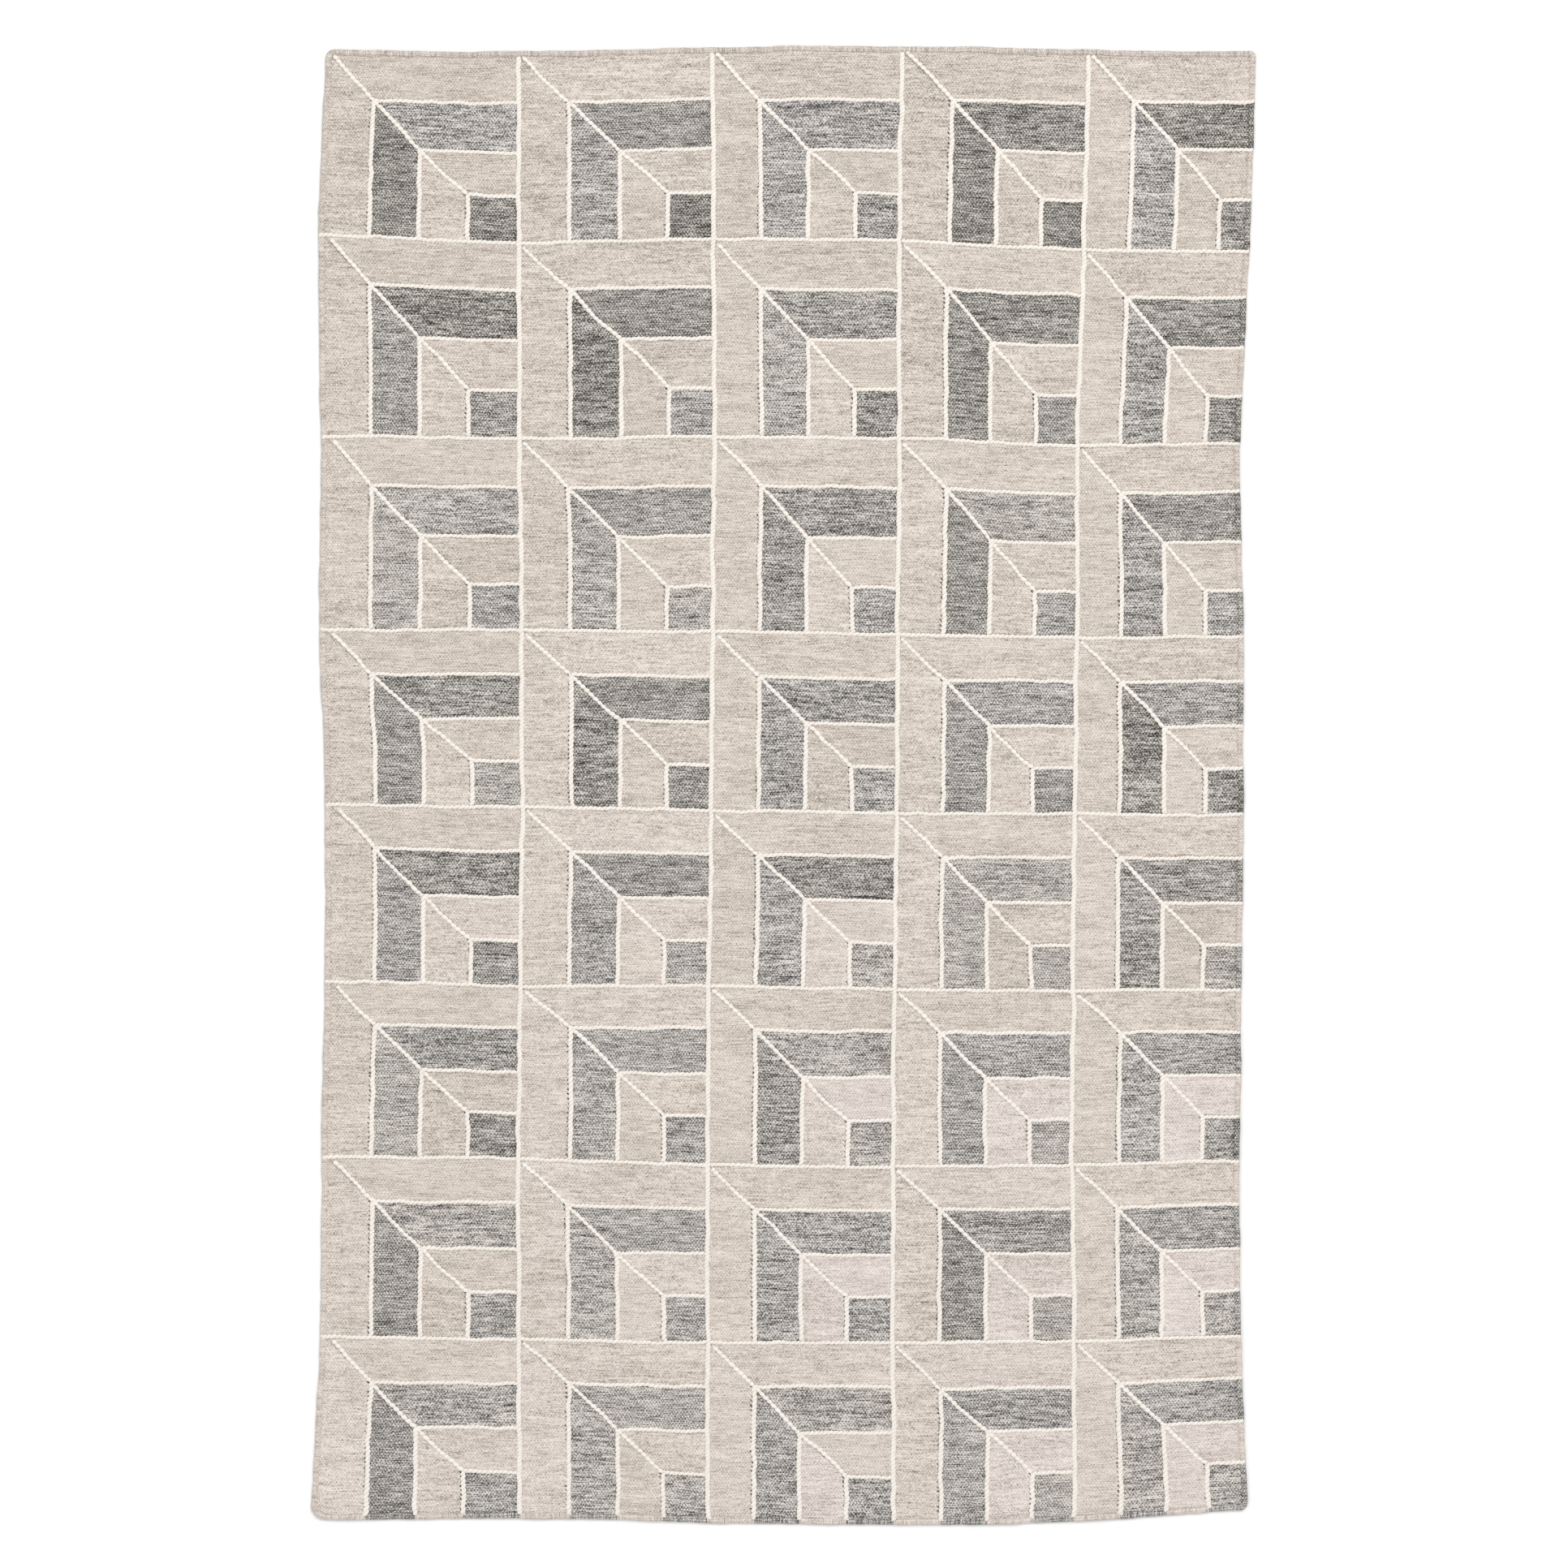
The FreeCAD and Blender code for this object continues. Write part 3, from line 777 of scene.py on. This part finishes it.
def make_weave_group():
    """Weft-faced plain weave. Each row of weft is a string of beads where it passes
    over the warp, and the beads of the next row stand half a bead along. Relief is one
    at the top of a bead and nought in the gap between two, by the cosine of the place
    along the row times the cosine of the place across it."""
    group, given, out = new_group(
        "Weft beads",
        (("Place", VECTOR, (0, 0, 0)), ("Bead", FLOAT, BEAD), ("Row", FLOAT, ROW)),
        (("Relief", FLOAT), ("Bead tone", FLOAT), ("Row tone", FLOAT), ("Run", FLOAT)),
    )
    place = given["Place"]
    for scale, shift in ((38.0, (0.0030, 0.0011, 0.0)), (190.0, (0.0022, 0.0016, 0.0))):
        wander = add_node(
            group, "ShaderNodeTexNoise", {"Vector": given["Place"], "Scale": scale, "Detail": 1.0}
        ).outputs["Color"]
        wander = add_node(
            group, "ShaderNodeVectorMath", {0: wander, 1: (0.5, 0.5, 0.5)}, operation="SUBTRACT"
        ).outputs[0]
        wander = stretch(group, wander, shift)
        place = add_node(
            group, "ShaderNodeVectorMath", {0: place, 1: wander}, operation="ADD"
        ).outputs[0]
    split = add_node(group, "ShaderNodeSeparateXYZ", {0: place}).outputs
    row = calculate(group, "DIVIDE", split["Y"], given["Row"])
    row_number = calculate(group, "FLOOR", row)
    in_row = calculate(group, "FRACT", row)
    half = calculate(group, "FLOORED_MODULO", row_number, 2.0)
    along = calculate(group, "DIVIDE", split["X"], given["Bead"])
    along = calculate(group, "MULTIPLY_ADD", half, 0.5, along)
    bead_number = calculate(group, "FLOOR", along)
    in_bead = calculate(group, "FRACT", along)
    bead_wave = calculate(group, "COSINE", calculate(group, "MULTIPLY", in_bead, 2 * math.pi))
    row_wave = calculate(group, "SINE", calculate(group, "MULTIPLY", in_row, math.pi))
    wave = calculate(group, "MULTIPLY", bead_wave, row_wave)
    relief = calculate(group, "MULTIPLY_ADD", wave, -0.5, 0.5)
    spot = add_node(
        group, "ShaderNodeCombineXYZ", {0: bead_number, 1: row_number, 2: split["Z"]}
    ).outputs[0]
    bead_tone = add_node(group, "ShaderNodeTexWhiteNoise", {"Vector": spot}).outputs["Value"]
    row_spot = add_node(group, "ShaderNodeCombineXYZ", {1: row_number, 2: split["Z"]}).outputs[0]
    row_tone = add_node(group, "ShaderNodeTexWhiteNoise", {"Vector": row_spot}).outputs["Value"]
    run_spot = add_node(
        group,
        "ShaderNodeCombineXYZ",
        {
            0: calculate(group, "MULTIPLY", split["X"], 34.0),
            1: calculate(group, "MULTIPLY", row_number, 2.37),
            2: split["Z"],
        },
    ).outputs[0]
    group.links.new(relief, out["Relief"])
    group.links.new(bead_tone, out["Bead tone"])
    group.links.new(row_tone, out["Row tone"])
    group.links.new(noise(group, run_spot, 1.0, 1.5), out["Run"])
    return group


def make_fibre_group():
    """Fine wool fibres: noise drawn out along the yarn, and a finer even fuzz."""
    group, given, out = new_group(
        "Wool fibres",
        (("Place", VECTOR, (0, 0, 0)), ("Drawn out", VECTOR, (700, 2600, 2600))),
        (("Fibres", FLOAT), ("Fuzz", FLOAT)),
    )
    drawn = stretch(group, given["Place"], given["Drawn out"])
    group.links.new(noise(group, drawn, 1.0, 3.0), out["Fibres"])
    group.links.new(noise(group, given["Place"], 1900.0, 2.0), out["Fuzz"])
    return group


def use_group(tree, group, inputs=()):
    node = add_node(tree, "ShaderNodeGroup", (), node_tree=group)
    for key, value in dict(inputs).items():
        if isinstance(value, bpy.types.NodeSocket):
            tree.links.new(value, node.inputs[key])
        else:
            node.inputs[key].default_value = value
    return node.outputs


def colour_ramp(tree, factor, stops):
    node = add_node(tree, "ShaderNodeValToRGB", {0: factor})
    ramp = node.color_ramp
    for place, colour in stops[1:-1]:
        ramp.elements.new(place).color = colour
    ramp.elements[0].position, ramp.elements[0].color = stops[0]
    ramp.elements[-1].position, ramp.elements[-1].color = stops[-1]
    return node.outputs["Color"]


def wool_material(name):
    """A matte wool with a soft sheen. Gives the material, its tree and its shader."""
    material = bpy.data.materials.new(name)
    material.use_nodes = True
    tree = material.node_tree
    tree.nodes.clear()
    shader = tree.nodes.new("ShaderNodeBsdfPrincipled")
    shader.inputs["Specular IOR Level"].default_value = 0.18
    shader.inputs["Sheen Weight"].default_value = 0.12
    shader.inputs["Sheen Roughness"].default_value = 0.6
    end = tree.nodes.new("ShaderNodeOutputMaterial")
    tree.links.new(shader.outputs[0], end.inputs[0])
    return material, tree, shader


def attribute(tree, name, output="Vector"):
    node = add_node(tree, "ShaderNodeAttribute", (), attribute_name=name)
    return node.outputs[output]


def bump(tree, height, distance, strength=1.0, normal=None):
    inputs = {"Height": height, "Distance": distance, "Strength": strength}
    if normal is not None:
        inputs["Normal"] = normal
    return add_node(tree, "ShaderNodeBump", inputs).outputs[0]


BEIGE_STOPS = (
    (0.0, linear(92, 80, 70)),
    (0.35, linear(160, 150, 138)),
    (0.65, linear(208, 198, 186)),
    (1.0, linear(240, 230, 218)),
)
GREY_STOPS = (
    (0.0, linear(22, 21, 21)),
    (0.3, linear(88, 85, 83)),
    (0.65, linear(172, 168, 163)),
    (1.0, linear(230, 225, 218)),
)


# How the dye leans from the darkest lot to the palest: share of each lot's red, green
# and blue that is kept.
BEIGE_TINTS = (
    (0.0, (1.0, 0.995, 1.02, 1.0)),
    (0.5, (1.0, 0.99, 1.012, 1.0)),
    (1.0, (1.0, 0.99, 1.055, 1.0)),
)
GREY_TINTS = (
    (0.0, (1.01, 1.0, 0.97, 1.0)),
    (0.5, (1.0, 0.99, 0.985, 1.0)),
    (0.75, (1.0, 0.995, 1.01, 1.0)),
    (1.0, (1.0, 0.985, 0.975, 1.0)),
)


def woven_material(name, stops, tints, middle, weights, groups):
    """Woven wool: the tone of each place comes from the bead's own yarn, its row, the
    run of the yarn along the row, broad bands, fibres, dark flecks and the weaver's lot.
    Painted shade darkens the gaps between beads and the rims that lie in the grooves
    beside cords and finished edges."""
    material, tree, shader = wool_material(name)
    place = attribute(tree, "weave")
    weave = use_group(tree, groups["weave"], {"Place": place})
    fibre = use_group(tree, groups["fibre"], {"Place": place})
    bands = noise(tree, stretch(tree, place, (7.0, 52.0, 3.7)), 1.0, 3.0)
    streaks = noise(tree, stretch(tree, place, (36.0, 520.0, 3.7)), 1.0, 2.5)
    grain = noise(tree, stretch(tree, place, (430.0, 560.0, 3.7)), 1.0, 1.0)
    flecks = noise(tree, stretch(tree, place, (230.0, 480.0, 3.7)), 1.0, 1.0)
    flecks = calculate(tree, "SUBTRACT", flecks, 0.60)
    flecks = calculate(tree, "MULTIPLY", flecks, 5.0, clamp=True)
    # relief times unlike: painted shade in the gaps between beads, stronger on some beads.
    unlike = calculate(tree, "MULTIPLY_ADD", weave["Bead tone"], 0.7, 0.65)
    relief = calculate(tree, "SUBTRACT", weave["Relief"], 0.5)
    # Painted shade at the rims, patchy from bead to bead.
    rim_shade_by_bead = calculate(tree, "MULTIPLY_ADD", weave["Bead tone"], 0.9, 0.35)
    sockets = {
        "relief": (calculate(tree, "MULTIPLY", relief, unlike), 0.0),
        "bead": (weave["Bead tone"], 0.5),
        "row": (weave["Row tone"], 0.5),
        "run": (weave["Run"], 0.5),
        "bands": (bands, 0.5),
        "streaks": (streaks, 0.5),
        "grain": (grain, 0.5),
        "fibres": (fibre["Fibres"], 0.5),
        "flecks": (flecks, 0.0),
        "lot": (attribute(tree, "lot", "Fac"), 0.5),
        "rim": (calculate(tree, "MULTIPLY", attribute(tree, "shade", "Fac"), rim_shade_by_bead), 0.0),
    }
    tone = middle
    for key, (socket, centre) in sockets.items():
        centred = calculate(tree, "SUBTRACT", socket, centre)
        tone = calculate(tree, "MULTIPLY_ADD", centred, weights[key], tone)
    tint = colour_ramp(tree, attribute(tree, "lot", "Fac"), tints)
    colour = add_node(
        tree,
        "ShaderNodeVectorMath",
        {0: colour_ramp(tree, tone, stops), 1: tint},
        operation="MULTIPLY",
    ).outputs[0]
    tree.links.new(colour, shader.inputs["Base Color"])
    rough = calculate(tree, "MULTIPLY_ADD", fibre["Fuzz"], 0.12, 0.84)
    tree.links.new(rough, shader.inputs["Roughness"])
    height = calculate(tree, "MULTIPLY_ADD", fibre["Fibres"], 0.22, weave["Relief"])
    tree.links.new(bump(tree, height, 0.5 * MM), shader.inputs["Normal"])
    return material


def stitched_wool(tree, groups):
    """The parts of a stitched tube's tone: the rise of each stitch, which paints shade into
    the grooves between stitches, its own tone and its fibres."""
    split = add_node(tree, "ShaderNodeSeparateXYZ", {0: attribute(tree, "strand")}).outputs
    rise = calculate(tree, "ABSOLUTE", calculate(tree, "SINE", split["X"]))
    rise = calculate(tree, "POWER", rise, 0.7)
    number = calculate(tree, "FLOOR", calculate(tree, "DIVIDE", split["X"], math.pi))
    own = add_node(tree, "ShaderNodeTexWhiteNoise", {"W": number}, noise_dimensions="1D")
    place = add_node(tree, "ShaderNodeTexCoord").outputs["Object"]
    fibre = use_group(tree, groups["fibre"], {"Place": place, "Drawn out": (1100, 1100, 1100)})
    return rise, own.outputs["Value"], fibre, place


def finish_stitched(tree, shader, stops, tone, rise, fibre, deep):
    tree.links.new(colour_ramp(tree, tone, stops), shader.inputs["Base Color"])
    rough = calculate(tree, "MULTIPLY_ADD", fibre["Fuzz"], 0.12, 0.82)
    tree.links.new(rough, shader.inputs["Roughness"])
    height = calculate(tree, "MULTIPLY_ADD", fibre["Fibres"], 0.6, rise)
    tree.links.new(bump(tree, height, deep), shader.inputs["Normal"])


def cord_material(name, groups):
    """Off-white wool: shade in the groove between stitches, with fine fibres."""
    material, tree, shader = wool_material(name)
    rise, own, fibre, place = stitched_wool(tree, groups)
    patches = noise(tree, place, 90.0, 1.0)
    tone = calculate(tree, "MULTIPLY_ADD", own, 0.12, -0.04)
    # Painted shade: paler on each stitch's top, darker in the groove between stitches.
    tone = calculate(tree, "MULTIPLY_ADD", rise, 0.44, tone)
    tone = calculate(tree, "MULTIPLY_ADD", fibre["Fibres"], 0.34, tone)
    tone = calculate(tree, "MULTIPLY_ADD", patches, 0.30, tone)
    stops = (
        (0.0, linear(180, 170, 157)),
        (0.5, linear(236, 229, 220)),
        (1.0, linear(250, 245, 238)),
    )
    finish_stitched(tree, shader, stops, tone, rise, fibre, 0.4 * MM)
    return material


def cotton_material(name, groups):
    """Undyed twisted cotton."""
    material, tree, shader = wool_material(name)
    place = add_node(tree, "ShaderNodeTexCoord").outputs["Object"]
    fibre = use_group(tree, groups["fibre"], {"Place": place, "Drawn out": (2200, 600, 2200)})
    stops = ((0.0, linear(214, 204, 182)), (1.0, linear(244, 238, 222)))
    tree.links.new(colour_ramp(tree, fibre["Fibres"], stops), shader.inputs["Base Color"])
    rough = calculate(tree, "MULTIPLY_ADD", fibre["Fuzz"], 0.1, 0.8)
    tree.links.new(rough, shader.inputs["Roughness"])
    tree.links.new(bump(tree, fibre["Fibres"], 0.3 * MM), shader.inputs["Normal"])
    return material


# How much each thing changes the tone of the woven wool. relief and rim add painted
# shade: in the gaps between beads, and at the rims in the grooves beside cords and edges.
BEIGE_WEIGHTS = {
    "relief": 0.25, "bead": 0.13, "row": 0.07, "run": 0.30, "bands": 0.36, "streaks": 0.84,
    "grain": 0.98, "fibres": 0.50, "flecks": -0.40, "lot": 0.14, "rim": -0.30,
}
GREY_WEIGHTS = {
    "relief": 0.42, "bead": 0.15, "row": 0.10, "run": 0.43, "bands": 0.34, "streaks": 1.30,
    "grain": 1.34, "fibres": 0.50, "flecks": -0.46, "lot": 0.18, "rim": -0.42,
}


def make_materials():
    groups = {"weave": make_weave_group(), "fibre": make_fibre_group()}
    return {
        "beige": woven_material(
            "Beige wool", BEIGE_STOPS, BEIGE_TINTS, 0.680, BEIGE_WEIGHTS, groups
        ),
        "grey": woven_material(
            "Mottled grey wool", GREY_STOPS, GREY_TINTS, 0.585, GREY_WEIGHTS, groups
        ),
        "cord": cord_material("Off-white wool cord", groups),
        "cotton": cotton_material("Natural cotton", groups),
    }


# --------------------------------------------------------------- putting together
def stand_for(piece, node):
    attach(piece, "root")
    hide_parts(node)


def make_rug():
    materials = make_materials()
    for column in range(COLUMNS):
        number = column + 1
        outline = make_outline_cords(column, materials["cord"])
        stand_for(outline, f"outline_cords_column_{number}")
        mitre = make_mitre_cords(column, materials["cord"])
        stand_for(mitre, f"mitre_cords_column_{number}")
        for band in range(BANDS):
            colour = "grey" if band % 2 else "beige"
            piece, area = make_field(column, band, materials[colour])
            stand_for(piece, f"{FIELD_KINDS[band]}_column_{number}")
    for row in range(ROWS - 1):
        cord = make_row_cord(row, materials["cord"])
        stand_for(cord, f"row_cord_{row + 1}")
    for column in range(COLUMNS - 1):
        cord = make_column_cord(column, materials["cord"])
        stand_for(cord, f"column_cord_{column + 1}")
    edges = {**make_selvedges(materials), **make_bindings(materials)}
    for node, piece in edges.items():
        stand_for(piece, node)
    for node, piece in make_cotton(materials["cotton"]).items():
        stand_for(piece, node)


# ------------------------------------------------------------------- the picture
CAMERA_HEIGHT = 12.0
VIEW_WIDTH = 2.594


def make_floor():
    """A plain pale floor under the rug."""
    mesh = bpy.data.meshes.new("floor")
    half = 9.0
    corners = [(-half, -half, 0), (half, -half, 0), (half, half, 0), (-half, half, 0)]
    mesh.from_pydata(corners, [], [(0, 1, 2, 3)])
    material = bpy.data.materials.new("Pale floor")
    material.use_nodes = True
    shader = material.node_tree.nodes["Principled BSDF"]
    shader.inputs["Base Color"].default_value = (0.97, 0.97, 0.97, 1)
    shader.inputs["Roughness"].default_value = 0.9
    shader.inputs["Specular IOR Level"].default_value = 0.1
    mesh.materials.append(material)
    floor = bpy.data.objects.new("floor", mesh)
    floor.location.z = -0.4 * MM
    bpy.context.scene.collection.objects.link(floor)


def make_light(name, place, size, power):
    """A large soft square light that faces the rug's middle."""
    light = bpy.data.lights.new(name, "AREA")
    light.shape = "SQUARE"
    light.size = size
    light.energy = power
    lamp = bpy.data.objects.new(name, light)
    lamp.location = place
    aim = np.array(place) / np.linalg.norm(place)
    lamp.rotation_euler = (math.acos(aim[2]), 0, math.atan2(aim[1], aim[0]) + math.pi / 2)
    bpy.context.scene.collection.objects.link(lamp)


def make_picture():
    scene = bpy.context.scene
    camera = bpy.data.cameras.new("camera")
    camera.sensor_width = 36
    camera.lens = 36 * CAMERA_HEIGHT / VIEW_WIDTH
    camera.clip_end = 100
    eye = bpy.data.objects.new("camera", camera)
    eye.location = (3.4 * MM, 2 * MM, CAMERA_HEIGHT)
    scene.collection.objects.link(eye)
    scene.camera = eye
    world = bpy.data.worlds.new("studio")
    world.use_nodes = True
    world.node_tree.nodes["Background"].inputs["Color"].default_value = (1, 1, 1, 1)
    world.node_tree.nodes["Background"].inputs["Strength"].default_value = 0.62
    scene.world = world
    make_light("key light", (4.0, 6.5, 10.5), 6.0, 760)
    make_light("fill light", (-7.0, -3.5, 10.0), 7.5, 300)
    scene.view_settings.view_transform = "Standard"
    scene.view_settings.look = "None"
    make_floor()


make_rug()
make_picture()
